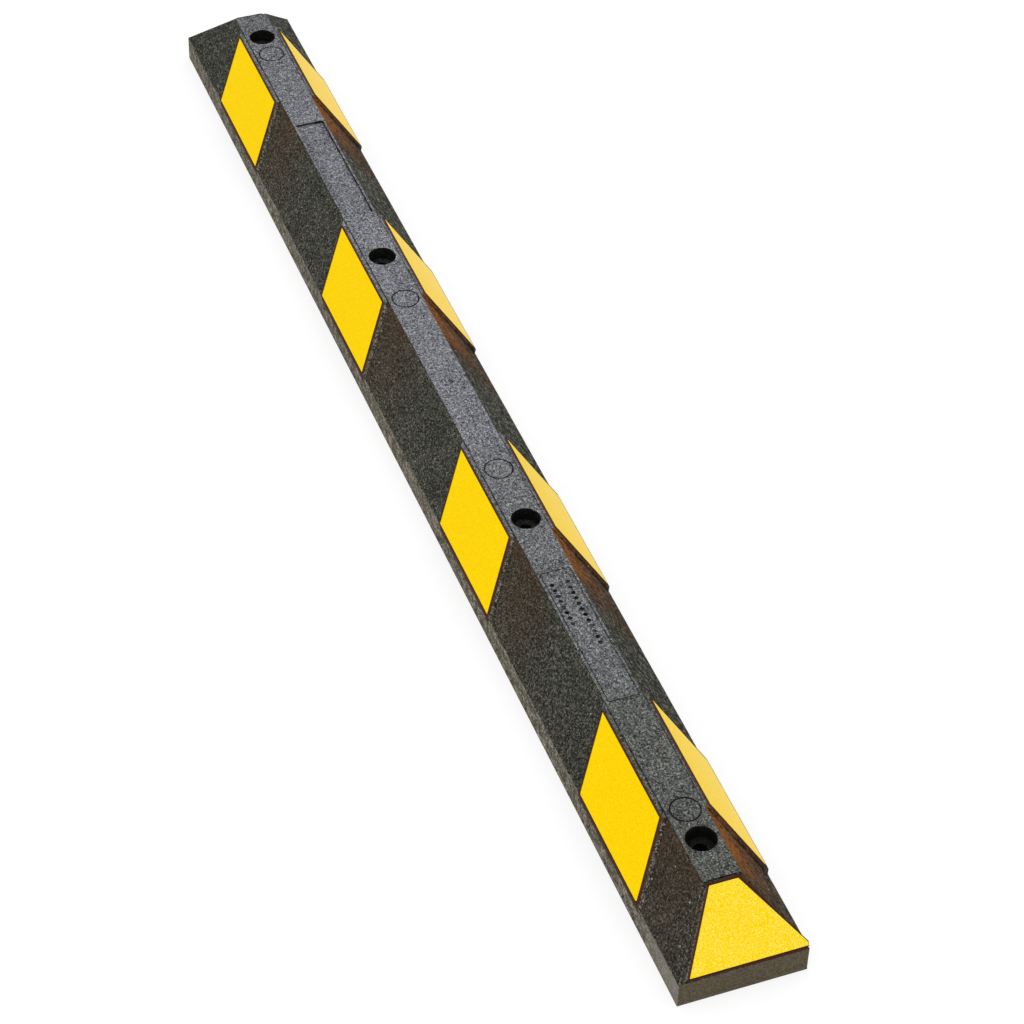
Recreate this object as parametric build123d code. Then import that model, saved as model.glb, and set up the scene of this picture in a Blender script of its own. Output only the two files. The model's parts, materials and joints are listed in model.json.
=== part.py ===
from build123d import *
from math import atan2, cos, radians, sin, tan
import os

# Moulded rubber bar: a low block with an upright edge, sloping sides, sloping ends and a flat top strip.
# X runs along the bar, Z is up, and the origin is in the middle of the underside.
LENGTH = 1830.0
WIDTH = 150.0
HEIGHT = 100.0
BASE_EDGE = 33.4  # height of the upright edge round the base
TOP_WIDTH = 43.7  # flat strip along the top
HIP_RUN = 71.5  # how far each sloping end runs back from the end of the bar
EDGE_RADIUS = 1.0  # rounding of the moulded outer edges

# Anchor holes down through the bar, each with a wide seat for the washer and the head
ANCHOR_COUNT = 4
ANCHOR_INSET = 127.0  # from each end of the bar to the nearest hole
SHANK_HOLE = 16.0  # diameter
SEAT_HOLE = 34.0  # diameter
SEAT_DEPTH = 17.0
SEAT_RIM = 0.8  # bevel round the seat's mouth

# Raised pads on the slopes, which carry the reflective tape
PANEL_COUNT = 4  # on each side of the bar
PANEL_INSET = 225.0  # from each end of the bar to the middle of the nearest panel
SIDE_PAD_RISE = 4.4  # a side pad's face above the slope
SIDE_PAD_FOOT = 38.2  # a side pad's lower edge above the ground
END_PAD_RISE = 1.6  # an end pad's face above the slope
END_PAD_FOOT = 36.8  # an end pad's lower edge above the ground
END_PAD_RIM = 1.0  # bare rubber between an end panel's tape and its pad's upright +Y wall
PAD_LEDGE = 1.0  # a pad's level top below the top strip
PAD_BORDER = 2.5  # bare rubber round the tape
PAD_FOOT_BORDER = 1.0  # bare rubber under the tape
PAD_EDGE = 0.5  # rounding of the edges round a pad's face
PAD_DRAFT = 45.0  # degrees, slope of the pad's two end walls
PAD_ROOT = 4.0  # how far the pad runs on into the bar

# Reflective tape, laid in a shallow recess in each pad
TAPE_LENGTH = 163.0  # along the bar
TAPE_LEAN = 56.0  # how far the tape's foot lies ahead of its head, towards +X
TAPE_THICKNESS = 0.6
TAPE_SUNK = 0.4  # tape's face below the pad's rim
TAPE_GAP = 0.4  # clear gap between the tape and the recess's wall
END_TAPE_HEAD = 33.0  # width of an end panel's tape at its upper edge
END_TAPE_FOOT = 61.7  # reach of its lower edge from the middle
FRONT_TAPE_FOOT = 76.9  # the same for the +X end's +Y side, where the tape runs out to the bar's corner
END_TAPE_TRIM = 1.0  # from the bar's side to the line that trims the tape's foot corner

# Marks of the mould on the top strip
PLATE_LENGTH = 215.0  # sunk plate between the first two panels, and flush plate between the last two
PLATE_SHIFT = 3.5  # from midway between its panels towards the bar's end
PLATE_RIM = 3.0  # strip left along each side of a plate
PLATE_DEPTH = 2.8
PLATE_CORNER = 2.0
SEAM_WIDTH = 0.8  # fine groove round the flush plate
SEAM_DEPTH = 0.6
RING_DIAMETER = 35.0  # outer edge of the fine rings that the mould's plugs leave
RING_WIDTH = 1.0
RING_DEPTH = 0.8
RING_OUTER_SHIFT = 43.5  # from an outer anchor hole towards the bar's middle
RING_INNER_SHIFT = 92.0  # from an inner anchor hole towards the bar's middle
DIMPLE_DIAMETER = 8.0  # sprue mark at the middle of the bar
DIMPLE_DEPTH = 1.2
DOT_DIAMETER = 4.6  # plain round pits in two rows between the last two panels
DOT_DEPTH = 1.0
DOT_PITCH = 9.4
DOT_SHIFT = 82.0  # from midway between those panels back towards -X, to the first pit of each row
DOT_ROW_GAP = 19.0  # between the two rows' middle lines
DOT_ROWS_ASIDE = 2.0  # from the bar's middle plane to midway between the rows, towards -Y
DOTS_MINUS_Y = 8  # pits in the row on the -Y side
DOTS_PLUS_Y = 12

# Hollows in the underside, which save rubber between the anchor holes
CORE_COUNT = 3  # between each two anchor holes
CORE_WALL = 27.0  # rubber left at each long side, at the ground
CORE_ROOF = 55.0  # rubber left under the top strip
CORE_RIB = 18.0  # web between two hollows, at the ground
CORE_BOSS = 35.0  # rubber left on each side of an anchor hole's axis, at the ground
CORE_DRAFT = 6.0  # degrees
CORE_CORNER = 8.0

OVERCUT = 5.0  # how far a cutting shape runs on past the surface that it opens

SIDE_SLOPE = atan2(HEIGHT - BASE_EDGE, (WIDTH - TOP_WIDTH) / 2)
END_SLOPE = atan2(HEIGHT - BASE_EDGE, HIP_RUN)
PAD_TOP = HEIGHT - PAD_LEDGE
RECESS_DEPTH = TAPE_SUNK + TAPE_THICKNESS


def spread(count, inset):
    """Places along X for a row of features with the same inset from each end of the bar."""
    first = inset - LENGTH / 2
    pitch = (LENGTH - 2 * inset) / (count - 1)
    return [first + i * pitch for i in range(count)]


def slope_reach(bottom_reach, slope, z):
    """Distance from the bar's middle plane to a sloping face at height z."""
    return bottom_reach - (z - BASE_EDGE) * cos(slope) / sin(slope)


def block():
    """The plain bar: the side profile and the end profile cut from one another, with rounded edges."""
    sides = [
        (WIDTH / 2, 0),
        (WIDTH / 2, BASE_EDGE),
        (TOP_WIDTH / 2, HEIGHT),
        (-TOP_WIDTH / 2, HEIGHT),
        (-WIDTH / 2, BASE_EDGE),
        (-WIDTH / 2, 0),
    ]
    ends = [
        (LENGTH / 2, 0),
        (LENGTH / 2, BASE_EDGE),
        (LENGTH / 2 - HIP_RUN, HEIGHT),
        (HIP_RUN - LENGTH / 2, HEIGHT),
        (-LENGTH / 2, BASE_EDGE),
        (-LENGTH / 2, 0),
    ]
    along = extrude(Plane.YZ * make_face(Polyline(*sides, close=True)), LENGTH / 2, both=True)
    across = extrude(Plane.XZ * make_face(Polyline(*ends, close=True)), WIDTH / 2, both=True)
    bar = along & across
    ground_edges = bar.edges().group_by(Axis.Z)[0]
    return fillet(bar.edges() - ground_edges, EDGE_RADIUS)


def moved_edges(outline, foot, right, head, left):
    """A four-sided outline with each edge moved outwards by its own distance.

    The corners go round from the left end of the foot: foot left, foot right, head right, head left.
    """
    lines = []
    for start, end, shift in zip(outline, outline[1:] + outline[:1], (foot, right, head, left)):
        along = (end - start).normalized()
        outward = Vector(along.Y, -along.X)
        lines.append((start + outward * shift, along))
    corners = []
    for (p, d), (q, e) in zip(lines[-1:] + lines[:-1], lines):
        corners.append(p + d * ((q - p).cross(e).Z / d.cross(e).Z))
    return corners


def slab(plane, low_level, low_outline, high_level, high_outline):
    """A solid between two outlines at two levels above a plane."""
    layers = [
        plane.offset(level) * make_face(Polyline(*outline, close=True))
        for level, outline in ((low_level, low_outline), (high_level, high_outline))
    ]
    return loft(layers, ruled=True)


def side_face():
    """Plane of the side pads' faces on the -Y slope: x along the bar, y up the slope from their foot."""
    reach = slope_reach(WIDTH / 2, SIDE_SLOPE, SIDE_PAD_FOOT) + SIDE_PAD_RISE / sin(SIDE_SLOPE)
    return Plane((0, -reach, SIDE_PAD_FOOT), x_dir=(1, 0, 0), z_dir=(0, -sin(SIDE_SLOPE), cos(SIDE_SLOPE)))


def end_face():
    """Plane of the end pad's face on the +X slope: x towards +Y, y up the slope from its foot."""
    reach = slope_reach(LENGTH / 2, END_SLOPE, END_PAD_FOOT) + END_PAD_RISE / sin(END_SLOPE)
    return Plane((reach, 0, END_PAD_FOOT), x_dir=(0, 1, 0), z_dir=(sin(END_SLOPE), 0, cos(END_SLOPE)))


def side_outline(middle):
    """The leaning outline of a side panel's tape, on the side face, about a place along the bar."""
    head = (PAD_TOP - SIDE_PAD_FOOT) / sin(SIDE_SLOPE) - PAD_BORDER
    foot_middle = middle + TAPE_LEAN / 2
    head_middle = middle - TAPE_LEAN / 2
    return [
        Vector(foot_middle - TAPE_LENGTH / 2, PAD_FOOT_BORDER),
        Vector(foot_middle + TAPE_LENGTH / 2, PAD_FOOT_BORDER),
        Vector(head_middle + TAPE_LENGTH / 2, head),
        Vector(head_middle - TAPE_LENGTH / 2, head),
    ]


def end_outline(foot_plus_y):
    """The tapering outline of an end panel's tape, on the end face, with its reach at the +Y end of its foot."""
    head = (PAD_TOP - END_PAD_FOOT) / sin(END_SLOPE) - PAD_BORDER
    return [
        Vector(-END_TAPE_FOOT, PAD_FOOT_BORDER),
        Vector(foot_plus_y, PAD_FOOT_BORDER),
        Vector(END_TAPE_HEAD / 2, head),
        Vector(-END_TAPE_HEAD / 2, head),
    ]


def pad(plane, outline, rise):
    """A raised pad round a tape's outline: drafted side walls, a square foot and a level top."""
    depth = rise + PAD_ROOT
    wall_run = depth * tan(radians(PAD_DRAFT))
    above = PAD_BORDER + depth + rise
    face = moved_edges(outline, PAD_FOOT_BORDER, PAD_BORDER, above, PAD_BORDER)
    root = moved_edges(outline, PAD_FOOT_BORDER, PAD_BORDER + wall_run, above, PAD_BORDER + wall_run)
    raised = slab(plane, -depth, root, 0, face)
    levelled = split(raised, bisect_by=Plane.XY.offset(PAD_TOP), keep=Keep.BOTTOM)
    front = levelled.faces().sort_by(Axis(plane.origin, plane.z_dir))[-1]
    return fillet(front.edges(), PAD_EDGE)


def recess(plane, outline):
    """The shallow recess that the tape lies in."""
    wall = moved_edges(outline, TAPE_GAP, TAPE_GAP, TAPE_GAP, TAPE_GAP)
    return slab(plane, -RECESS_DEPTH, wall, OVERCUT, wall)


def tape(plane, outline):
    """One piece of reflective tape, lying on the floor of its recess."""
    return slab(plane, -RECESS_DEPTH, outline, -TAPE_SUNK, outline)


def end_wall(outline):
    """Upright plane of the +Y wall of the +X end's pad, along the edge of its tape."""
    foot, head = [end_face().from_local_coords(corner) for corner in outline[1:3]]
    along = head - foot
    return Plane(foot, z_dir=(along.Y, -along.X, 0)).offset(END_PAD_RIM)


def within(shape, limits):
    """The part of a shape behind each of some planes."""
    for limit in limits:
        shape = split(shape, bisect_by=limit, keep=Keep.BOTTOM)
    return shape


def anchor_hole(x):
    """One stepped anchor hole: a bore for the shank and a wide seat with a bevelled mouth."""
    seat_floor = HEIGHT - SEAT_DEPTH
    shank = Pos(x, 0, -OVERCUT) * extrude(Circle(SHANK_HOLE / 2), seat_floor + 2 * OVERCUT)
    seat = Pos(x, 0, seat_floor) * extrude(Circle(SEAT_HOLE / 2), SEAT_DEPTH + OVERCUT)
    mouth = Pos(x, 0, HEIGHT - SEAT_RIM / 2) * Cone(
        SEAT_HOLE / 2,
        SEAT_HOLE / 2 + SEAT_RIM,
        SEAT_RIM,
    )
    return shank + seat + mouth


def ring_mark(x):
    """One fine ring cut in the top strip."""
    outer = RING_DIAMETER / 2
    ring = Circle(outer) - Circle(outer - RING_WIDTH)
    return Pos(x, 0, HEIGHT - RING_DEPTH) * extrude(ring, RING_DEPTH + OVERCUT)


def plate():
    """Outline of a plate in the top strip."""
    return RectangleRounded(PLATE_LENGTH, TOP_WIDTH - 2 * PLATE_RIM, PLATE_CORNER)


def sunk_plate(x):
    """The bare sunk plate."""
    return Pos(x, 0, HEIGHT - PLATE_DEPTH) * extrude(plate(), PLATE_DEPTH + OVERCUT)


def plate_seam(x):
    """The fine groove round the flush plate."""
    groove = plate() - offset(plate(), -SEAM_WIDTH)
    return Pos(x, 0, HEIGHT - SEAM_DEPTH) * extrude(groove, SEAM_DEPTH + OVERCUT)


def dimple():
    """The shallow round sprue mark: a ball that meets the strip in a circle."""
    radius = (DIMPLE_DIAMETER**2 / 4 + DIMPLE_DEPTH**2) / (2 * DIMPLE_DEPTH)
    return Pos(0, 0, HEIGHT - DIMPLE_DEPTH + radius) * Sphere(radius)


def dot_rows(x):
    """The two rows of pits, which start at a place along the bar."""
    pits = []
    for count, side in ((DOTS_MINUS_Y, -1), (DOTS_PLUS_Y, 1)):
        y = side * DOT_ROW_GAP / 2 - DOT_ROWS_ASIDE
        for i in range(count):
            pit = extrude(Circle(DOT_DIAMETER / 2), DOT_DEPTH + OVERCUT)
            pits.append(Pos(x + i * DOT_PITCH, y, HEIGHT - DOT_DEPTH) * pit)
    return pits


def core(low_x, high_x):
    """One drafted hollow in the underside between two places along the bar."""
    outline = RectangleRounded(high_x - low_x, WIDTH - 2 * CORE_WALL, CORE_CORNER)
    return Pos((low_x + high_x) / 2, 0, 0) * extrude(outline, HEIGHT - CORE_ROOF, taper=CORE_DRAFT)


def cores(anchors):
    """All the hollows: an even row between each two anchor holes."""
    hollows = []
    for this_hole, next_hole in zip(anchors, anchors[1:]):
        start = this_hole + CORE_BOSS
        bay = next_hole - CORE_BOSS - start
        length = (bay - (CORE_COUNT - 1) * CORE_RIB) / CORE_COUNT
        for i in range(CORE_COUNT):
            low_x = start + i * (length + CORE_RIB)
            hollows.append(core(low_x, low_x + length))
    return hollows


def ring_places(anchors):
    """Places of the mould's ring marks, each one shifted from its anchor hole towards the bar's middle."""
    places = []
    for i, x in enumerate(anchors):
        shift = RING_OUTER_SHIFT if i in (0, ANCHOR_COUNT - 1) else RING_INNER_SHIFT
        places.append(x - shift if x > 0 else x + shift)
    return places


def build():
    """All the pieces of the stop, by name."""
    panels = spread(PANEL_COUNT, PANEL_INSET)
    anchors = spread(ANCHOR_COUNT, ANCHOR_INSET)
    pieces = {}
    pads = []
    recesses = []

    for number, middle in enumerate(panels, start=1):
        outline = side_outline(middle)
        for side, placed in (("left", lambda s: s), ("right", lambda s: mirror(s, about=Plane.XZ))):
            pads.append(placed(pad(side_face(), outline, SIDE_PAD_RISE)))
            recesses.append(placed(recess(side_face(), outline)))
            pieces[f"{side}_reflective_tape_{number}"] = placed(tape(side_face(), outline))

    bar_side = Plane((0, WIDTH / 2, 0), z_dir=(0, 1, 0))
    trim_line = bar_side.offset(-END_TAPE_TRIM)
    for end, foot_plus_y, placed in (
        ("front", FRONT_TAPE_FOOT, lambda s: s),
        ("rear", END_TAPE_FOOT, lambda s: mirror(s, about=Plane.YZ)),
    ):
        outline = end_outline(foot_plus_y)
        pads.append(placed(within(pad(end_face(), outline, END_PAD_RISE), [bar_side, end_wall(outline)])))
        recesses.append(placed(recess(end_face(), outline)))
        pieces[f"{end}_end_reflective_tape"] = placed(within(tape(end_face(), outline), [trim_line]))

    sunk_place = (panels[0] + panels[1]) / 2 - PLATE_SHIFT
    flush_place = (panels[-2] + panels[-1]) / 2 + PLATE_SHIFT
    dots_place = (panels[-2] + panels[-1]) / 2 - DOT_SHIFT
    cuts = recesses + [anchor_hole(x) for x in anchors] + [ring_mark(x) for x in ring_places(anchors)]
    cuts += [sunk_plate(sunk_place), plate_seam(flush_place), dimple()] + dot_rows(dots_place) + cores(anchors)
    body = block() + pads
    pieces["rubber_body"] = body - cuts
    return pieces


os.makedirs("parts", exist_ok=True)
for name, piece in build().items():
    export_step(piece, f"parts/{name}.step")
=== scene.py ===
"""Looks of a rubber wheel stop: a moulded crumb-rubber bar with ten pieces of yellow reflective tape."""

import json
import logging
import math
from dataclasses import dataclass, field
from enum import Enum, auto

import bmesh
import bpy
import numpy as np
from mathutils import Matrix, Vector, noise
from mathutils.bvhtree import BVHTree
from mathutils.kdtree import KDTree


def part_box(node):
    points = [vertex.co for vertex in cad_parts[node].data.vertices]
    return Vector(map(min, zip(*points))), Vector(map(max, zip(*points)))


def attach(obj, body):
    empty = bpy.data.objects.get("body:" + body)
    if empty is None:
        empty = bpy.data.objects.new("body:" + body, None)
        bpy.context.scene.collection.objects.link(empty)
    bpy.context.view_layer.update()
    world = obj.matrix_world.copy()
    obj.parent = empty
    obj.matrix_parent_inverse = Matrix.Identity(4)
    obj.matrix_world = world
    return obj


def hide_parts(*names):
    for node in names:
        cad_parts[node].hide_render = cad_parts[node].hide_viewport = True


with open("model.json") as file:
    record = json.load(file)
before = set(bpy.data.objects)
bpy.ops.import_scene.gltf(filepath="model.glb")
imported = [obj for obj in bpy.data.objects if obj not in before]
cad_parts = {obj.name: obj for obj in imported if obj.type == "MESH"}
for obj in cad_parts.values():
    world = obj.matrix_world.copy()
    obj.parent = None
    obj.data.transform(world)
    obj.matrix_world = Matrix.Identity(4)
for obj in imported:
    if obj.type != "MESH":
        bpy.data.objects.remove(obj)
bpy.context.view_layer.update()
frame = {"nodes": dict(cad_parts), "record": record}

MM = 0.001
PHOTO_SIDE = 1024  # pixels along each side of the photograph's frame
SENSOR_WIDTH = 36.0  # mm
NOISE_DETAIL = 2.0  # finer layers in each noise pattern
WHITE = "#FFFFFF"
LOG = logging.getLogger("wheel_stop")

# Numbered sockets of the node that mixes two colours
FACTOR, FIRST, SECOND, MIXED = 0, 6, 7, 2

Colour = tuple[float, float, float, float]
Tones = tuple[tuple[float, str], ...]  # places and hex colours along a colour ramp
Profile = tuple[tuple[float, float], ...]  # places along the bar, in metres, and a value at each
Tree = bpy.types.NodeTree
Socket = bpy.types.NodeSocket


class Side(Enum):
    """The two long sides of the bar, by the sign of Y."""

    LEFT = -1
    RIGHT = 1


class Axis(Enum):
    """The three axes, as places in a vector."""

    X = 0
    Y = 1
    Z = 2


class Mask(Enum):
    """Named values on the bar's mesh that tell its material where the finish changes."""

    STRIP = "strip"  # the level top
    SIDE_EDGE = "side_edge"  # the upright edge along the two long sides
    END_EDGE = "end_edge"  # the upright edge across the two ends
    WALL = "wall"  # painted light on the left pads' end walls, which face +X
    SHADE = "shade"  # in the dark: holes, small marks and the right pads' end walls
    OPEN = "open"  # the right slope, whose crumb is coarser and more open
    CREVICE_SHADE = "crevice_shade"  # painted shade in inner corners
    RIM = "rim"  # primer round each tape, with painted shade along the tape's edge and under the pads' feet
    LINE = "line"  # painted shade along the lips of the marks in the level top
    WORN_AND_LIT = "worn_and_lit"  # outer edges: wear, with a painted highlight
    PRIMER = "primer"  # overspray beside the tape
    BLOOM = "bloom"  # pale film on the top and at the +X corners; on the top it is partly painted light from above


class Pattern(Enum):
    """Patterns that the crumb rubber is drawn with."""

    TONE = auto()  # each crumb's own tone
    JOINT = auto()  # distance from the joints between crumbs
    FLECK = auto()  # distance from the middle of a rare pale crumb
    GRIT = auto()  # fine roughness
    LUMP = auto()  # lumps of a few crumbs
    GAP = auto()  # open, coarser places
    MOTTLE = auto()  # blotches on the upright edge
    STREAK = auto()  # thin places in the primer
    CLOUD = auto()  # broad light and dark


@dataclass(frozen=True)
class Span:
    """How the values of a pattern, a mask or a place are stretched.

    Attributes:
        start: The value at which the stretch begins.
        stop: The value at which it ends, above the start or below it.
        first: What is given at the start and before it.
        last: What is given at the stop and past it.
    """

    start: float = 0.0
    stop: float = 1.0
    first: float = 0.0
    last: float = 1.0

    def of(self, value: Socket) -> dict[str, object]:
        """Lists the inputs of a node that stretches a value so.

        Args:
            value: The output that gives the value.

        Returns:
            An output or a number for each named input.
        """
        return {
            "Value": value,
            "From Min": self.start,
            "From Max": self.stop,
            "To Min": self.first,
            "To Max": self.last,
        }


def linear(code: str) -> Colour:
    """Turns an sRGB hex colour into linear light.

    Args:
        code: Six hex digits after a hash sign.

    Returns:
        Red, green, blue and an alpha of one.
    """
    parts = [int(code[i : i + 2], 16) / 255 for i in (1, 3, 5)]
    light = [p / 12.92 if p <= 0.04045 else ((p + 0.055) / 1.055) ** 2.4 for p in parts]
    return (*light, 1.0)


def per_metre(size_mm: float) -> float:
    """Texture scale at which one cell of a pattern measures the given millimetres."""
    return 1 / (size_mm * MM)


def eased(low: float, high: float, values: np.ndarray) -> np.ndarray:
    """Smooth step from 0 at low to 1 at high."""
    t = np.clip((values - low) / (high - low), 0, 1)
    return t * t * (3 - 2 * t)


def noise_at(points: np.ndarray, size: float) -> np.ndarray:
    """Smooth noise from -1 to 1 at each point, in lumps of the given size."""
    return np.array([noise.noise(Vector(p)) for p in points / size])


def add_node(
    tree: Tree,
    kind: str,
    inputs: dict | None = None,
    stops: Tones = (),
    **settings: object,
) -> bpy.types.Node:
    """Adds one node with its settings and links.

    Args:
        tree: The node tree of a material or of the world.
        kind: The node's type, without the prefix that every shader node has.
        inputs: A value, or another node's output, for each named or numbered input.
        stops: Places and hex colours along a colour ramp.
        settings: The node's own properties.

    Returns:
        The new node.
    """
    node = tree.nodes.new("ShaderNode" + kind)
    for name, value in settings.items():
        setattr(node, name, value)
    for socket, value in (inputs or {}).items():
        if isinstance(value, Socket):
            tree.links.new(value, node.inputs[socket])
        else:
            node.inputs[socket].default_value = value
    while stops and len(node.color_ramp.elements) < len(stops):
        node.color_ramp.elements.new(1.0)
    for i, (place, code) in enumerate(stops):
        node.color_ramp.elements[i].position = place
        node.color_ramp.elements[i].color = linear(code)
    return node


def weighted(tree: Tree, first: Socket | float, *shares: tuple[Socket, Socket | float]) -> Socket:
    """Adds shares of several patterns to a first value.

    Args:
        tree: The material's node tree.
        first: What the patterns are added to.
        shares: Each pattern, and how much of it is added.

    Returns:
        The sum.
    """
    total = first
    for part, share in shares:
        total = add_node(
            tree, "Math", {0: part, 1: share, 2: total}, operation="MULTIPLY_ADD"
        ).outputs[0]
    return total


def coated(tree: Tree, ground: Socket | Colour, *coats: tuple[Socket, Socket | Colour]) -> Socket:
    """Lays coats of colour over a ground.

    Args:
        tree: The material's node tree.
        ground: The colour underneath.
        coats: How much each coat covers, from 0 to 1, and its colour, from the lowest coat up.

    Returns:
        The colour that shows.
    """
    colour = ground
    for cover, coat in coats:
        colour = add_node(
            tree, "Mix", {FACTOR: cover, FIRST: colour, SECOND: coat}, data_type="RGBA"
        ).outputs[MIXED]
    return colour


def empty_material(name: str) -> bpy.types.Material:
    """Makes a node material with no nodes yet.

    Args:
        name: The material's name.

    Returns:
        The material.
    """
    material = bpy.data.materials.new(name)
    material.use_nodes = True
    material.node_tree.nodes.clear()
    return material


def add_object(name: str, data: bpy.types.ID) -> bpy.types.Object:
    """Puts a mesh, a camera or a lamp into the scene.

    Args:
        name: The object's name.
        data: What it shows.

    Returns:
        The object.
    """
    made = bpy.data.objects.new(name, data)
    bpy.context.scene.collection.objects.link(made)
    return made


@dataclass(frozen=True)
class MouldedCrumbRubber:
    """Recycled tyre crumb, bound and pressed in a hot mould.

    The eye sees a matt, grainy charcoal: every crumb has its own tone, with dark joints between crumbs and a
    fine grit on all of it. A pale bloom lies on most of the level top, and the upright edge is a smoother
    brown-grey; the top and the upright edge are paler than the slopes partly as painted light, from above on
    the top and from the white floor on the upright edge. The primer under the tape shows as a dark brown rim
    round it, which also carries painted shade along the tape's edge and under the pads' feet, and its
    overspray has left a rust-brown haze on the slopes beside it.
    """

    crumb_mm: float = 1.5
    grit_mm: float = 0.8
    lump_mm: float = 3.2
    gap_mm: float = 6.0
    mottle_mm: float = 9.0
    streak_mm: float = 26.0
    cloud_mm: float = 55.0
    fleck_mm: float = 24.0  # spacing of the rare pale crumbs
    grit_height_mm: float = 0.5
    grit_strength: float = 0.6  # how much of that height shows

    grain_start: float = -0.55
    grain_shares: tuple[tuple[Pattern, float], ...] = (
        (Pattern.TONE, 0.8),
        (Pattern.GRIT, 0.5),
        (Pattern.LUMP, 0.6),
        (Pattern.CLOUD, 0.2),
    )
    gap_start: float = -1.0  # with its share, gaps both darken and lighten the grain
    gap_share: float = 2.0
    ragged_start: float = -0.15  # with its share, lumps push the edge of the rim in and out
    ragged_share: float = 0.3
    blotch_start: float = -0.48
    blotch_grain: float = 0.9
    blotch_mottle: float = 1.1

    fleck_span: Span = Span(0.06, 0.03, last=0.7)
    joint_span: Span = Span(0.12, 0.0, last=0.5)
    speckle_span: Span = Span(0.2, 0.6, first=0.45)  # primer shows less on dark crumbs
    patchy_span: Span = Span(0.3, 0.6, first=0.6)
    thick_span: Span = Span(0.55, 1.0)  # from a thin haze to full primer
    rim_span: Span = Span(0.4, 0.6, last=0.92)
    line_span: Span = Span(0.4, 0.6, last=0.9)
    dull_span: Span = Span(first=0.15, last=0.0)  # slopes are darker where the top has no bloom
    corner_cover: float = 0.6  # how far the bloom at the +X corners covers the upright edge

    # The level top's tones, the bloom's and the upright edge's are paler than the slopes' partly as painted
    # light: from above on the top, from the white floor on the upright edge.
    slope_tones: Tones = ((0.05, "#0C0C0B"), (0.35, "#353530"), (0.7, "#4F4F47"), (1.0, "#818175"))
    bloom_tones: Tones = ((0.05, "#2E2F33"), (0.35, "#6D6E73"), (0.7, "#8B8C92"), (1.0, "#C2C4CB"))
    strip_tones: Tones = ((0.05, "#191A18"), (0.35, "#4B4D49"), (0.7, "#666863"), (1.0, "#9A9C95"))
    side_tones: Tones = ((0.1, "#3C372D"), (0.4, "#655E51"), (0.65, "#80796B"), (0.95, "#B6B0A3"))
    end_tones: Tones = ((0.1, "#504939"), (0.4, "#5A5242"), (0.65, "#625A49"), (0.95, "#6E6656"))
    # tones of the painted light on the left pads' end walls
    lit_wall_tones: Tones = ((0.15, "#1C1A16"), (0.5, "#5A564B"), (0.8, "#A8A498"))
    joint: str = "#11100F"
    shade: str = "#0E0D0C"
    # painted shade in inner corners and along the marks' lips
    crevice_shade: str = "#171110"
    # dark brown of the rim round each tape: primer, with painted shade
    rim: str = "#482B22"
    # pale of the outer edges: wear and a painted highlight
    worn_and_lit: str = "#7B7A76"
    corner: str = "#97928A"
    thin_primer: str = "#523414"
    primer: str = "#542C0C"
    primer_light: str = "#965C24"
    fleck: str = "#BEBEB8"
    roughness: float = 0.88
    shine: float = 0.05

    def material(self) -> bpy.types.Material:
        """Builds the material's nodes.

        Returns:
            The material.
        """
        made = empty_material("moulded_crumb_rubber")
        tree = made.node_tree
        patterns = self.patterns(tree)
        relief = add_node(
            tree,
            "Bump",
            {
                "Height": patterns[Pattern.GRIT],
                "Distance": self.grit_height_mm * MM,
                "Strength": self.grit_strength,
            },
        )
        surface = add_node(
            tree,
            "BsdfPrincipled",
            {
                "Base Color": self.colour(tree, patterns),
                "Roughness": self.roughness,
                "Specular IOR Level": self.shine,
                "Normal": relief.outputs["Normal"],
            },
        )
        add_node(tree, "OutputMaterial", {"Surface": surface.outputs["BSDF"]})
        return made

    def patterns(self, tree: Tree) -> dict[Pattern, Socket]:
        """Draws each pattern at its real size.

        Args:
            tree: The material's node tree.

        Returns:
            The output that gives each pattern.
        """
        place = add_node(tree, "TexCoord").outputs["Object"]
        crumb = {"Vector": place, "Scale": per_metre(self.crumb_mm)}
        cells = add_node(tree, "TexVoronoi", crumb)
        joints = add_node(tree, "TexVoronoi", crumb, feature="DISTANCE_TO_EDGE")
        flecks = add_node(tree, "TexVoronoi", {"Vector": place, "Scale": per_metre(self.fleck_mm)})
        found = {
            Pattern.TONE: add_node(tree, "SeparateColor", {"Color": cells.outputs["Color"]}).outputs["Red"],
            Pattern.JOINT: joints.outputs["Distance"],
            Pattern.FLECK: flecks.outputs["Distance"],
        }
        for pattern, size in (
            (Pattern.GRIT, self.grit_mm),
            (Pattern.LUMP, self.lump_mm),
            (Pattern.GAP, self.gap_mm),
            (Pattern.MOTTLE, self.mottle_mm),
            (Pattern.STREAK, self.streak_mm),
            (Pattern.CLOUD, self.cloud_mm),
        ):
            found[pattern] = add_node(
                tree, "TexNoise", {"Vector": place, "Scale": per_metre(size), "Detail": NOISE_DETAIL}
            ).outputs["Fac"]
        return found

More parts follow.
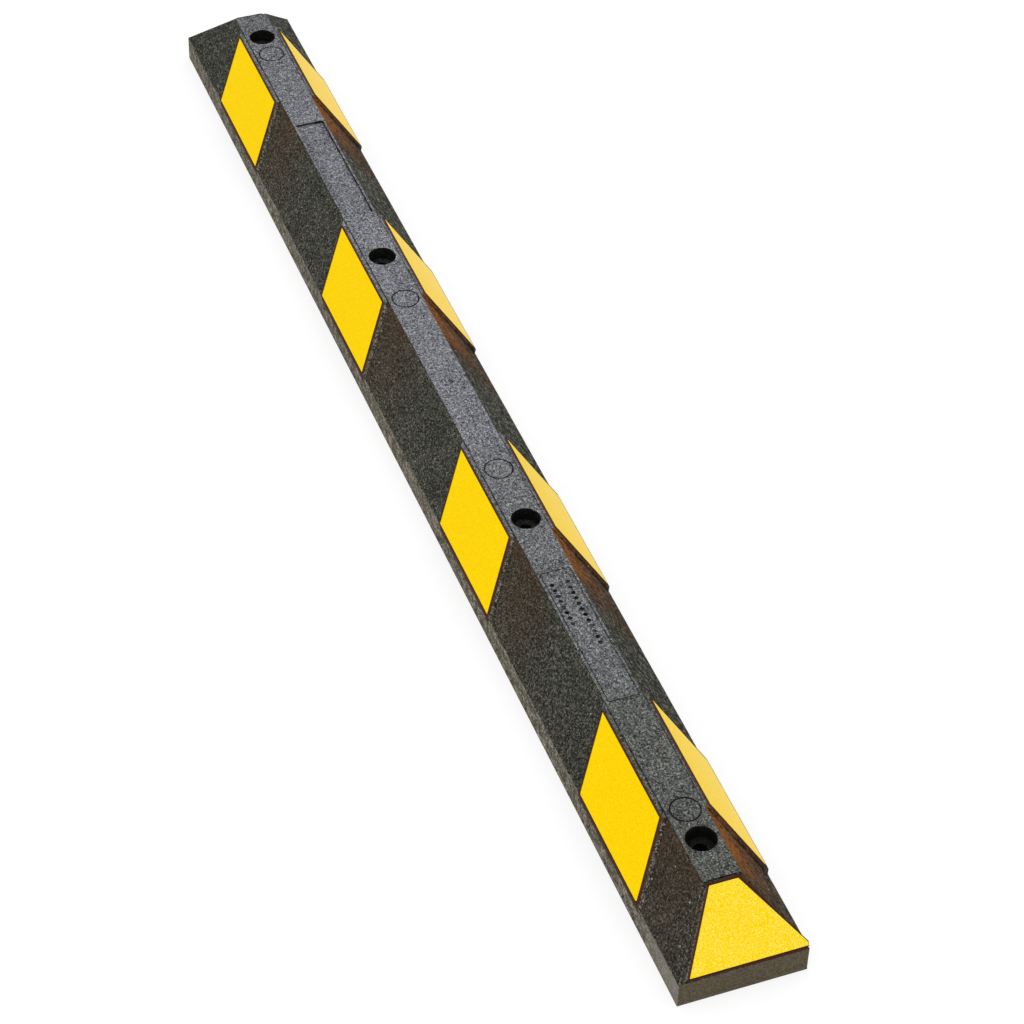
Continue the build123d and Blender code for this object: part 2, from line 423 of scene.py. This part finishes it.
    def colour(self, tree: Tree, patterns: dict[Pattern, Socket]) -> Socket:
        """Colours the rubber, coat by coat.

        Args:
            tree: The material's node tree.
            patterns: The output that gives each pattern.

        Returns:
            The colour that shows.
        """
        masks = {m: add_node(tree, "Attribute", attribute_name=m.value).outputs["Fac"] for m in Mask}
        lump = patterns[Pattern.LUMP]
        mottle = patterns[Pattern.MOTTLE]
        grain = weighted(tree, self.grain_start, *[(patterns[p], share) for p, share in self.grain_shares])
        gap = weighted(tree, self.gap_start, (patterns[Pattern.GAP], self.gap_share))
        slope_grain = weighted(tree, grain, (gap, masks[Mask.OPEN]))
        ragged = weighted(tree, self.ragged_start, (masks[Mask.RIM], 1.0), (lump, self.ragged_share))
        blotchy = weighted(tree, self.blotch_start, (grain, self.blotch_grain), (mottle, self.blotch_mottle))
        fleck, joint, speckle, patchy, thick, rim, line, dull = [
            add_node(tree, "MapRange", span.of(value)).outputs[0]
            for span, value in (
                (self.fleck_span, patterns[Pattern.FLECK]),
                (self.joint_span, patterns[Pattern.JOINT]),
                (self.speckle_span, slope_grain),
                (self.patchy_span, patterns[Pattern.STREAK]),
                (self.thick_span, masks[Mask.PRIMER]),
                (self.rim_span, ragged),
                (self.line_span, masks[Mask.LINE]),
                (self.dull_span, masks[Mask.BLOOM]),
            )
        ]
        slope, bloom, strip, side, end, wall = [
            add_node(tree, "ValToRGB", {0: value}, tones).outputs[0]
            for tones, value in (
                (self.slope_tones, slope_grain),
                (self.bloom_tones, grain),
                (self.strip_tones, grain),
                (self.side_tones, blotchy),
                (self.end_tones, grain),
                (self.lit_wall_tones, grain),
            )
        ]
        haze = masks[Mask.PRIMER]
        for part in (patchy, speckle):
            haze = add_node(tree, "Math", {0: haze, 1: part}, operation="MULTIPLY").outputs[0]
        corner = weighted(tree, 0.0, (masks[Mask.BLOOM], self.corner_cover))
        primer = coated(tree, linear(self.primer), (speckle, linear(self.primer_light)))
        return coated(
            tree,
            slope,
            (dull, linear(self.joint)),
            (haze, coated(tree, linear(self.thin_primer), (thick, primer))),
            # painted light on the left pads' end walls
            (masks[Mask.WALL], wall),
            (masks[Mask.STRIP], coated(tree, strip, (masks[Mask.BLOOM], bloom))),
            (masks[Mask.SIDE_EDGE], coated(tree, side, (corner, linear(self.corner)))),
            (fleck, linear(self.fleck)),
            (joint, linear(self.joint)),
            (masks[Mask.END_EDGE], end),
            # wear and a painted highlight on the outer edges
            (masks[Mask.WORN_AND_LIT], linear(self.worn_and_lit)),
            # painted shade in inner corners, then along the marks' lips
            (masks[Mask.CREVICE_SHADE], linear(self.crevice_shade)),
            (line, linear(self.crevice_shade)),
            (masks[Mask.SHADE], linear(self.shade)),
            # the rim round each tape: primer, with painted shade
            (rim, linear(self.rim)),
        )


@dataclass(frozen=True)
class BeadedSheeting:
    """Yellow retroreflective sheeting: glass beads under a clear coloured film, rolled onto the rubber.

    The eye sees a strong even yellow with a faint sparkle of beads, painted into its colour as a painted
    glint, a film that pales at a glancing angle as the beads throw light back, and the crumb under it just
    showing through.
    """

    name: str = "beaded_reflective_sheeting"
    bead_mm: float = 1.5  # real beads are near 0.1 mm, drawn coarser so that their sparkle shows
    print_mm: float = 3.2  # the crumb that shows through
    print_height_mm: float = 0.12
    print_strength: float = 0.5  # how much of that height shows
    yellow: str = "#FEDC00"
    amber: str = "#FDC800"
    # colour of the painted glint of the beads
    pale: str = "#FEE218"
    dim_span: Span = Span(0.62, 0.34)  # where the beads leave the film amber
    glint_range: tuple[float, float] = (0.47, 0.64)
    sparkle: float = 0.35  # how far the painted glint of the beads covers the yellow
    roughness: float = 0.5
    shine: float = 0.02
    veil: float = 0.36  # pale light that the beads throw back at a glancing angle
    veil_roughness: float = 0.25
    # colour of the painted sheen that stands in for glancing reflection
    painted_sheen: str = "#FFF2CC"
    painted_sheen_share: float = 0.0  # how far a painted sheen pales the sheeting towards its foot
    painted_sheen_top_mm: float = 95.0
    painted_sheen_foot_mm: float = 38.0

    def material(self) -> bpy.types.Material:
        """Builds the material's nodes.

        Returns:
            The material.
        """
        made = empty_material(self.name)
        tree = made.node_tree
        place = add_node(tree, "TexCoord").outputs["Object"]
        height = add_node(tree, "SeparateXYZ", {"Vector": place}).outputs["Z"]
        beads = add_node(
            tree, "TexNoise", {"Vector": place, "Scale": per_metre(self.bead_mm), "Detail": NOISE_DETAIL}
        ).outputs["Fac"]
        dim, glint, painted_sheen = [
            add_node(tree, "MapRange", span.of(value)).outputs[0]
            for span, value in (
                (self.dim_span, beads),
                (Span(*self.glint_range, last=self.sparkle), beads),
                (self.painted_sheen_span(), height),
            )
        ]
        crumb = add_node(
            tree,
            "TexVoronoi",
            {"Vector": place, "Scale": per_metre(self.print_mm)},
            feature="SMOOTH_F1",
        )
        relief = add_node(
            tree,
            "Bump",
            {
                "Height": crumb.outputs["Distance"],
                "Distance": self.print_height_mm * MM,
                "Strength": self.print_strength,
            },
            invert=True,
        )
        surface = add_node(
            tree,
            "BsdfPrincipled",
            {
                "Base Color": coated(
                    tree,
                    linear(self.yellow),
                    (dim, linear(self.amber)),
                    (glint, linear(self.pale)),
                    (painted_sheen, linear(self.painted_sheen)),
                ),
                "Roughness": self.roughness,
                "Specular IOR Level": self.shine,
                "Sheen Weight": self.veil,
                "Sheen Roughness": self.veil_roughness,
                "Normal": relief.outputs["Normal"],
            },
        )
        add_node(tree, "OutputMaterial", {"Surface": surface.outputs["BSDF"]})
        return made

    def painted_sheen_span(self) -> Span:
        """How the painted sheen grows from the top of the sheeting to its foot."""
        return Span(self.painted_sheen_top_mm * MM, self.painted_sheen_foot_mm * MM, last=self.painted_sheen_share)


@dataclass
class Tape:
    """One piece of tape on the bar's side, as its frame node gives it.

    Attributes:
        side: The side that it is on.
        foot: Its lower corner nearest +X.
        head: Its upper corner nearest +X.
    """

    side: Side
    foot: Vector
    head: Vector

    @classmethod
    def of_node(cls, name: str) -> "Tape":
        """Reads a side tape's corners from its frame node.

        Args:
            name: The node's name.

        Returns:
            The tape.
        """
        points = [v.co for v in frame["nodes"][name].data.vertices]
        middle = sum(p.z for p in points) / len(points)
        foot = max((p for p in points if p.z < middle), key=lambda p: p.x)
        head = max((p for p in points if p.z > middle), key=lambda p: p.x)
        return cls(Side.LEFT if foot.y < 0 else Side.RIGHT, foot.copy(), head.copy())

    def rise(self, points: np.ndarray) -> np.ndarray:
        """How high points lie: 0 level with the tape's foot and 1 level with its head."""
        return (points[:, 2] - self.foot.z) / (self.head.z - self.foot.z)

    def beyond(self, points: np.ndarray) -> np.ndarray:
        """How far points lie past the tape's +X edge, along the bar."""
        return points[:, 0] - (self.foot.x + self.rise(points) * (self.head.x - self.foot.x))


@dataclass
class RubberBar:
    """The moulded bar, with its crumb relief pressed into the mesh."""

    finish: MouldedCrumbRubber = field(default_factory=MouldedCrumbRubber)
    node: str = "rubber_body"
    cell: float = 3.7 * MM  # spacing of the cuts that give the mesh points to move
    crumb_press: float = 0.25 * MM  # deepest hollow between crumbs
    crumb_size: float = 5.0 * MM
    wave_press: float = 0.2 * MM  # deepest broad hollow
    wave_size: float = 40.0 * MM
    merge: float = 0.002 * MM  # points nearer than this are one
    flat: float = math.radians(0.3)  # faces that turn less than this are one
    crease: float = math.radians(30)  # edges that turn more than this stay sharp
    inner_turn: float = math.radians(12)  # least turn of an inner corner that gets painted shade
    outer_turn: float = math.radians(6)  # least turn of an outer edge that is painted paler
    level: float = 0.85  # least upward part of a level face's normal
    steep: float = 0.25  # most upward part of an upright face's normal
    facing: float = 0.25  # least part of a pad wall's normal along the way that it faces
    turned: float = 0.1  # least +X part of the normal of the +X end pad's -Y wall

    base_edge: float = 33.4 * MM  # top of the upright edge
    strip_end: float = 843.5 * MM  # where the level top ends and the end's slope begins
    strip_half: float = 21.8 * MM  # the slopes begin at this distance from the bar's middle plane
    mark_level: float = 97.0 * MM  # marks in the level top lie above this height
    mark_reach: float = 19.5 * MM  # and within this distance from the middle plane
    sunk_levels: tuple[float, float] = (98.9 * MM, 99.5 * MM)  # between these are floors of rings and pits
    seam_reach: float = 17.9 * MM  # the flush plate's long seams lie beyond this distance from that plane
    seam_level: float = 99.3 * MM  # and above this height
    seam_ends: tuple[float, float] = (356.0 * MM, 571.0 * MM)  # places of its short seams along the bar
    seam_width: float = 1.5 * MM  # the lips of a short seam lie within this distance of its place
    seat_rim: float = 1.5 * MM  # width of the edge round an anchor's seat

    rim: float = 4.4 * MM  # how far the dark rim reaches round each tape: primer, with painted shade
    rim_trim: float = 1.2 * MM  # how much less it does on the ends and the left of the level top
    primer_and_shade_drop: float = 8.0 * MM  # how much farther it reaches down the upright sides: painted shade under the pads' overhanging feet, with primer
    haze: dict[Side, float] = field(default_factory=lambda: {Side.LEFT: 0.5, Side.RIGHT: 1.15})
    haze_start: float = 55.0 * MM  # from a tape's +X edge to where the haze begins to fade
    haze_stop: float = 160.0 * MM  # and to where it ends
    haze_foot: float = 0.4  # the haze at a tape's foot, as a share of that at its head
    bloom: Profile = (
        (-0.84, 0.5), (-0.7, 0.75), (-0.62, 0.95), (0.1, 1.0), (0.18, 0.6), (0.35, 0.6),
        (0.55, 0.42), (0.569, 0.35), (0.572, 0.08), (0.76, 0.08), (0.8, 0.0),
    )
    corner_bloom: Profile = ((0.8, 0.0), (0.87, 1.0))
    worn_and_lit_cover: float = 0.25  # how far wear and a painted highlight pale the outer edges
    bore_shade: float = 0.92  # how far the dark of a hole covers its wall
    seat_shade: float = 0.87  # and its seat
    wall_shade: float = 0.35  # the dark of the right pads' end walls
    lit_wall_cover: float = 0.75  # how far the painted light covers the left pads' end walls
    # painted shade in the inner corners at the pads' feet, deeper on the right
    foot_shade: dict[Side, float] = field(default_factory=lambda: {Side.LEFT: 0.25, Side.RIGHT: 0.7})
    mark_shade: float = 0.95  # the dark of a mark at its darkest
    mark_least: float = 0.4  # the faintest parts of a mark, as a share of the darkest
    seam_share: float = 0.5  # how dark the long seams are, as a share of the other marks
    patch_size: float = 9.0 * MM  # size of a mark's faint and dark parts
    patch_range: tuple[float, float] = (-0.3, 0.2)  # noise at the faintest and the darkest parts
    lip: float = 0.3 * MM  # how far a mark's painted shade reaches past its lip
    lip_low: float = -8.0  # least closeness to a lip, far enough down to keep the slope near it

    def build(self) -> bpy.types.Object:
        """Makes the bar's mesh from its frame node and dresses it.

        Returns:
            The bar.
        """
        work = self.cut_mesh()
        point_masks = self.point_masks(work)
        mesh = bpy.data.meshes.new("crumb_rubber_bar")
        work.to_mesh(mesh)
        work.free()
        for domain, masks in (("POINT", point_masks), ("FACE", self.face_masks(mesh))):
            for mask, values in masks.items():
                mesh.attributes.new(mask.value, "FLOAT", domain).data.foreach_set("value", values)
        self.press_crumb(mesh)
        mesh.materials.append(self.finish.material())
        mesh.shade_smooth()
        mesh.set_sharp_from_angle(angle=self.crease)
        bar = add_object("crumb_rubber_bar", mesh)
        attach(bar, "root")
        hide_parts(self.node)
        return bar

    def cut_mesh(self) -> bmesh.types.BMesh:
        """Copies the frame's mesh and cuts its outer skin into small cells.

        Returns:
            The cut mesh.
        """
        work = bmesh.new()
        work.from_mesh(frame["nodes"][self.node].data)
        bmesh.ops.remove_doubles(work, verts=work.verts, dist=self.merge)
        bmesh.ops.dissolve_limit(work, angle_limit=self.flat, verts=work.verts, edges=work.edges)
        crossed = work.faces.layers.int.new("crossed")
        for face in self.skin(work):
            face[crossed] = 1 + self.flat_along(face.normal).value
        low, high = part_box(self.node)
        for axis in Axis:
            i = axis.value
            count = round((high[i] - low[i]) / self.cell)
            places = np.linspace(low[i], high[i], count + 1)[1:-1]
            faces = [f for f in work.faces if f[crossed] and f[crossed] != 1 + i]
            self.slice(work, faces, axis, places)
        work.normal_update()
        return work

    def flat_along(self, normal: Vector) -> Axis:
        """Finds the axis that a face needs no cuts across.

        Args:
            normal: The face's normal.

        Returns:
            The axis.
        """
        if normal.z > self.level:
            return Axis.Z
        return Axis.X if abs(normal.x) > abs(normal.y) else Axis.Y

    def skin(self, work: bmesh.types.BMesh) -> set[bmesh.types.BMFace]:
        """Finds the faces that weather and wheels reach: all that join the top above the ground.

        Args:
            work: The mesh.

        Returns:
            Those faces.
        """
        top = max(work.faces, key=lambda f: f.calc_center_median().z)
        found = {top}
        queue = [top]
        while queue:
            for edge in queue.pop().edges:
                if max(v.co.z for v in edge.verts) > self.merge:
                    fresh = [f for f in edge.link_faces if f not in found]
                    found.update(fresh)
                    queue.extend(fresh)
        return found

    def slice(self, work: bmesh.types.BMesh, faces: list, axis: Axis, places: np.ndarray) -> None:
        """Cuts faces at places along an axis, halving the row each time so that each cut meets few faces.

        Args:
            work: The mesh that the faces belong to.
            faces: Faces to cut.
            axis: The axis that the cuts cross.
            places: Places along it, in order.
        """
        if not faces or not len(places):
            return
        middle = len(places) // 2
        normal = Vector([float(a is axis) for a in Axis])
        parts = set(faces)
        for face in faces:
            parts.update(face.edges, face.verts)
        cut = bmesh.ops.bisect_plane(
            work,
            geom=list(parts),
            dist=self.merge,
            plane_co=normal * places[middle],
            plane_no=normal,
        )
        low, high = [], []
        for part in cut["geom"]:
            if isinstance(part, bmesh.types.BMFace):
                beyond = part.calc_center_median()[axis.value] > places[middle]
                (high if beyond else low).append(part)
        self.slice(work, low, axis, places[:middle])
        self.slice(work, high, axis, places[middle + 1 :])

    def point_masks(self, work: bmesh.types.BMesh) -> dict[Mask, np.ndarray]:
        """Works out the masks that fade from point to point.

        Args:
            work: The cut mesh.

        Returns:
            A value at each point for each mask.
        """
        work.verts.index_update()
        points = np.array([v.co for v in work.verts])
        crevice_shade = np.zeros(len(points))
        worn_and_lit = np.zeros(len(points))
        for edge in work.edges:
            turn = edge.calc_face_angle_signed(0.0)
            ends = [v.index for v in edge.verts]
            if turn < -self.inner_turn:
                crevice_shade[ends] = np.maximum(crevice_shade[ends], self.corner_shade(edge))
            elif turn > self.outer_turn:
                worn_and_lit[ends] = 1.0
        top = points[:, 2] > self.mark_level
        dark = self.patches(points)
        crevice_shade *= np.where(top, dark, 1.0)
        mark = top & (np.abs(points[:, 1]) < self.mark_reach)
        plain = self.in_seat(points, self.seat_rim) | self.on_seam(points)
        lips = points[mark & (worn_and_lit > 0) & ~plain]
        worn_and_lit[mark] = 0.0
        along = points[:, 0]
        return {
            Mask.CREVICE_SHADE: crevice_shade,
            Mask.RIM: self.tape_rim(points),
            Mask.LINE: self.lip_shade(points, lips, dark),
            Mask.WORN_AND_LIT: worn_and_lit * self.worn_and_lit_cover * (1 - crevice_shade),
            Mask.PRIMER: self.primer_haze(points),
            Mask.BLOOM: np.where(
                points[:, 2] > self.base_edge + self.merge,
                np.interp(along, *zip(*self.bloom)),
                np.interp(along, *zip(*self.corner_bloom)),
            ),
        }

    def corner_shade(self, edge: bmesh.types.BMEdge) -> float:
        """Tells how deep the painted shade in an inner corner is: paler at the foot of a pad than in the
        level top.

        Args:
            edge: The corner.

        Returns:
            A share from 0 to 1.
        """
        place = edge.verts[0].co
        side = Side.LEFT if place.y < 0 else Side.RIGHT
        return 1.0 if place.z > self.mark_level else self.foot_shade[side]

    def patches(self, points: np.ndarray) -> np.ndarray:
        """Tells how dark the painted shade of the marks in the level top is from place to place, faintest
        along the long seams.

        Args:
            points: Places on the bar.

        Returns:
            A share from 0 to 1 at each place.
        """
        cloud = eased(*self.patch_range, noise_at(points, self.patch_size))
        dark = self.mark_least + (1 - self.mark_least) * cloud
        seam = (np.abs(points[:, 1]) > self.seam_reach) & (points[:, 2] > self.seam_level)
        return np.where(seam, self.seam_share * dark, dark)

    def in_seat(self, points: np.ndarray, margin: float) -> np.ndarray:
        """Tells which points lie inside an anchor's seat.

        Args:
            points: Places on the bar.
            margin: How far outside a seat still counts.

        Returns:
            True for each such point.
        """
        inside = np.zeros(len(points), bool)
        for mount in frame["record"]["mounts"]:
            if mount["name"].startswith("anchor_seat"):
                x, y, _ = mount["pos_m"]
                away = np.hypot(points[:, 0] - x, points[:, 1] - y)
                inside |= away < mount["dims"]["r_mm"] * MM + margin
        return inside

    def on_seam(self, points: np.ndarray) -> np.ndarray:
        """Tells which points lie at the flush plate's seam.

        Args:
            points: Places in the level top.

        Returns:
            True for each such point.
        """
        low, high = self.seam_ends
        away = np.minimum(np.abs(points[:, 0] - low), np.abs(points[:, 0] - high))
        along = (points[:, 0] > low) & (points[:, 0] < high) & (np.abs(points[:, 1]) > self.seam_reach)
        return along | (away < self.seam_width)

    def lip_shade(self, points: np.ndarray, lips: np.ndarray, dark: np.ndarray) -> np.ndarray:
        """Measures closeness to the marks' lips: one at a lip, a half where its painted shade ends, then
        less.

        Args:
            points: Places on the bar.
            lips: Places on the lips.
            dark: How dark a mark's painted shade is at each of the points.

        Returns:
            A value at each of the points.
        """
        tree = KDTree(len(lips))
        for i, place in enumerate(lips):
            tree.insert(place, i)
        tree.balance()
        away = np.array([tree.find(p)[2] for p in points])
        return np.clip(1 - away / (2 * self.lip * dark), self.lip_low, 1)

    def tape_rim(self, points: np.ndarray) -> np.ndarray:
        """Measures closeness to the tapes: one at a tape, a half where the rim of primer and painted shade
        round it ends, then less.

        Args:
            points: Places on the bar.

        Returns:
            A value at each of the points.
        """
        low = points[:, 2] < self.base_edge + self.merge
        end = np.abs(points[:, 0]) > self.strip_end
        narrow = (low & end) | ((points[:, 1] < 0) & (end | (points[:, 2] > self.mark_level)))
        # Under a pad's overhanging foot the rim reaches farther down the upright edge: painted shade there,
        # with primer.
        lifted = points.copy()
        lifted[low & ~end, Axis.Z.value] += self.primer_and_shade_drop
        away = self.tape_distance(lifted) + self.rim_trim * narrow
        return np.clip(1 - away / (2 * self.rim), 0, 1)

    def tape_distance(self, points: np.ndarray) -> np.ndarray:
        """Measures the distance to the nearest tape.

        Args:
            points: Places on the bar or near it.

        Returns:
            The distance from each point.
        """
        corners, faces = [], []
        for name, node in frame["nodes"].items():
            if name != self.node:
                first = len(corners)
                corners += [v.co for v in node.data.vertices]
                faces += [[first + i for i in p.vertices] for p in node.data.polygons]
        tree = BVHTree.FromPolygons(corners, faces)
        return np.array([tree.find_nearest(Vector(p))[3] for p in points])

    def primer_haze(self, points: np.ndarray) -> np.ndarray:
        """Works out the primer's haze, strongest past the upper part of a tape's +X edge.

        Args:
            points: Places on the bar.

        Returns:
            Its strength at each of the points.
        """
        haze = np.zeros(len(points))
        for name in frame["nodes"]:
            if name.startswith(("left", "right")):
                tape = Tape.of_node(name)
                past = tape.beyond(points)
                share = np.clip(tape.rise(points), 0, 1)
                strength = self.haze[tape.side] * (self.haze_foot + (1 - self.haze_foot) * share)
                strength *= 1 - eased(self.haze_start, self.haze_stop, past)
                strength[(past < 0) | (points[:, 1] * tape.side.value < self.strip_half)] = 0
                haze = np.maximum(haze, strength)
        return haze

    def face_masks(self, mesh: bpy.types.Mesh) -> dict[Mask, np.ndarray]:
        """Works out the masks that change from face to face.

        Args:
            mesh: The cut mesh, before the crumb is pressed in.

        Returns:
            A value at each face for each mask.
        """
        normals = np.array([p.normal for p in mesh.polygons])
        centres = np.array([p.center for p in mesh.polygons])
        bore = self.in_seat(centres, self.merge)
        level = normals[:, 2] > self.level
        strip = level & (np.abs(centres[:, 0]) < self.strip_end)
        upright = (normals[:, 2] < self.steep) & (centres[:, 2] < self.base_edge)
        across = np.abs(normals[:, 0]) > np.abs(normals[:, 1])
        slope = (centres[:, 2] > self.base_edge) & (centres[:, 2] < self.mark_level) & ~level
        wall = slope & ~bore & self.pad_end_walls(normals, centres)
        right = centres[:, 1] > 0
        sunk = (centres[:, 2] > self.sunk_levels[0]) & (centres[:, 2] < self.sunk_levels[1])
        mark = (~level & (centres[:, 2] > self.mark_level)) | (strip & sunk)
        mark &= np.abs(centres[:, 1]) < self.mark_reach
        return {
            Mask.STRIP: strip.astype(float),
            Mask.SIDE_EDGE: (upright & ~across).astype(float),
            Mask.END_EDGE: (upright & across).astype(float),
            # painted light on the left pads' end walls; the right ones get painted shade below
            Mask.WALL: (wall & ~right) * self.lit_wall_cover,
            Mask.OPEN: (slope & right).astype(float),
            Mask.SHADE: np.select(
                [bore & level, bore, mark, wall & right],
                [self.seat_shade, self.bore_shade, self.mark_shade * self.patches(centres), self.wall_shade],
                0.0,
            ),
        }

    def pad_end_walls(self, normals: np.ndarray, centres: np.ndarray) -> np.ndarray:
        """Tells which faces are end walls of the pads that turn towards +X.

        Args:
            normals: Normals of faces.
            centres: Their places.

        Returns:
            True for each face that is such a wall.
        """
        end_pad = (normals[:, 0] > self.turned) & (normals[:, 1] < -self.facing)
        return np.where(np.abs(centres[:, 0]) < self.strip_end, normals[:, 0] > self.facing, end_pad)

    def press_crumb(self, mesh: bpy.types.Mesh) -> None:
        """Presses the crumb's relief into the mesh, inwards only, so that the bar keeps its outer size.

        Args:
            mesh: The cut mesh.
        """
        points = np.array([v.co for v in mesh.vertices])
        normals = np.array([v.normal for v in mesh.vertices])
        depth = np.zeros(len(points))
        for size, press in ((self.crumb_size, self.crumb_press), (self.wave_size, self.wave_press)):
            depth += (0.5 + noise_at(points, size) / 2) * press
        depth[points[:, 2] < self.merge] = 0
        mesh.vertices.foreach_set("co", (points - normals * depth[:, None]).ravel())
        mesh.update()


@dataclass
class TapeSet:
    """The ten pieces of reflective tape, which keep their frame nodes' shapes.

    Attributes:
        left_finish: Sheeting on the left side.
        right_finish: Sheeting on the right side, with a stronger sheen and a painted sheen that pales it
            towards its foot.
        end_finish: Sheeting on the two ends, with a stronger painted glint of the beads.
    """

    left_finish: BeadedSheeting = field(default_factory=BeadedSheeting)
    right_finish: BeadedSheeting = field(
        default_factory=lambda: BeadedSheeting(
            name="beaded_reflective_sheeting_sheened", veil=0.48, painted_sheen_share=0.14
        )
    )
    end_finish: BeadedSheeting = field(
        default_factory=lambda: BeadedSheeting(
            name="beaded_reflective_sheeting_end",
            bead_mm=1.6,
            yellow="#FEE000",
            amber="#FDD000",
            pale="#FEEA70",
            sparkle=0.8,
        )
    )

    def dress(self) -> list[bpy.types.Object]:
        """Gives each tape its sheeting.

        Returns:
            The tapes.
        """
        end = self.end_finish.material()
        sides = {"left": self.left_finish.material(), "right": self.right_finish.material()}
        tapes = []
        for name, node in frame["nodes"].items():
            if "_reflective_tape" in name:
                node.data.materials[0] = sides.get(name.split("_")[0], end)
                tapes.append(node)
        return tapes


@dataclass
class Studio:
    """A plain white sweep, soft light all round and one large soft lamp, with the photograph's camera.

    Attributes:
        eye: The camera's place, in metres.
        target: A point on its axis.
        roll: Its turn about that axis, in degrees.
        focal: Its focal length, in pixels of the photograph.
    """

    eye: Vector = field(default_factory=lambda: Vector((2.71191, -0.99201, 2.56106)))
    target: Vector = field(default_factory=lambda: Vector((0.0, 0.086655, -0.146704)))
    roll: float = 1.7625
    focal: float = 3075.94
    floor_side: float = 30.0  # m
    floor_drop: float = 0.2 * MM
    floor_grey: str = "#D0D0D0"  # what the stop is lit by from below
    floor_glow: float = 0.7  # share of the floor's white that doesn't come from the lamp and the sky
    glow_strength: float = 1.05
    sky: float = 1.02  # how strong the light all round is
    lamp_place: Vector = field(default_factory=lambda: Vector((0.9, -2.4, 2.6)))
    lamp_side: float = 2.4  # m
    lamp_power: float = 7.0  # W

    def build(self) -> None:
        """Sets up the camera, the light and the floor."""
        bpy.context.scene.view_settings.view_transform = "Standard"
        self.build_camera()
        self.build_floor()
        self.build_light()

    def build_camera(self) -> None:
        """Puts the camera where the photograph was taken from."""
        forward = (self.target - self.eye).normalized()
        turn = Matrix.Rotation(-math.radians(self.roll), 3, forward)
        right = turn @ forward.cross(Vector((0, 0, 1))).normalized()
        up = right.cross(forward)
        data = bpy.data.cameras.new("camera")
        data.sensor_width = SENSOR_WIDTH
        data.lens = self.focal / PHOTO_SIDE * SENSOR_WIDTH
        camera = add_object("camera", data)
        facing = Matrix((right, up, -forward)).transposed().to_4x4()
        camera.matrix_world = Matrix.Translation(self.eye) @ facing
        bpy.context.scene.camera = camera

    def build_floor(self) -> None:
        """Lays the floor: white to the eye and in reflections, with the stop's soft shadow on it."""
        made = empty_material("white_studio_floor")
        tree = made.node_tree
        plain = add_node(tree, "BsdfDiffuse", {"Color": linear(self.floor_grey)}).outputs[0]
        white = add_node(tree, "BsdfDiffuse", {"Color": linear(WHITE)}).outputs[0]
        glow = add_node(
            tree, "Emission", {"Color": linear(WHITE), "Strength": self.glow_strength}
        ).outputs[0]
        lit = add_node(tree, "MixShader", {0: self.floor_glow, 1: white, 2: glow}).outputs[0]
        mixed = add_node(tree, "MixShader", {0: self.seen(tree), 1: plain, 2: lit}).outputs[0]
        add_node(tree, "OutputMaterial", {"Surface": mixed})
        work = bmesh.new()
        bmesh.ops.create_grid(work, x_segments=1, y_segments=1, size=self.floor_side / 2)
        mesh = bpy.data.meshes.new("studio_floor")
        work.to_mesh(mesh)
        work.free()
        mesh.materials.append(made)
        floor = add_object("studio_floor", mesh)
        floor.location.z = -self.floor_drop

    def build_light(self) -> None:
        """Lights the stop evenly from all round, and a little more from the left."""
        world = bpy.data.worlds.new("studio_light")
        bpy.context.scene.world = world
        world.use_nodes = True
        tree = world.node_tree
        tree.nodes.clear()
        strength = add_node(tree, "MapRange", Span(first=self.sky).of(self.seen(tree))).outputs[0]
        light = add_node(tree, "Background", {"Color": linear(WHITE), "Strength": strength}).outputs[0]
        add_node(tree, "OutputWorld", {"Surface": light})
        data = bpy.data.lights.new("soft_lamp", "AREA")
        data.shape = "SQUARE"
        data.size = self.lamp_side
        data.energy = self.lamp_power
        lamp = add_object("soft_lamp", data)
        lamp.location = self.lamp_place
        lamp.rotation_mode = "QUATERNION"
        lamp.rotation_quaternion = (-self.lamp_place).to_track_quat("-Z", "Y")

    def seen(self, tree: Tree) -> Socket:
        """Tells the rays that show a surface to the eye: straight, mirrored or through something clear.

        Args:
            tree: The node tree of the floor or of the world.

        Returns:
            One for such a ray and zero for others.
        """
        path = add_node(tree, "LightPath").outputs
        seen = path["Is Camera Ray"]
        for kind in ("Is Glossy Ray", "Is Transmission Ray"):
            seen = add_node(tree, "Math", {0: seen, 1: path[kind]}, operation="MAXIMUM").outputs[0]
        return seen


def main() -> None:
    """Builds the stop's pieces and the studio in order, and reports each one."""
    Studio().build()
    bar = RubberBar().build()
    LOG.info("%s: %d faces", bar.name, len(bar.data.polygons))
    for tape in TapeSet().dress():
        LOG.info("%s", tape.name)


if __name__ == "__main__":
    logging.basicConfig(level=logging.INFO, format="%(name)s: %(message)s")
    main()
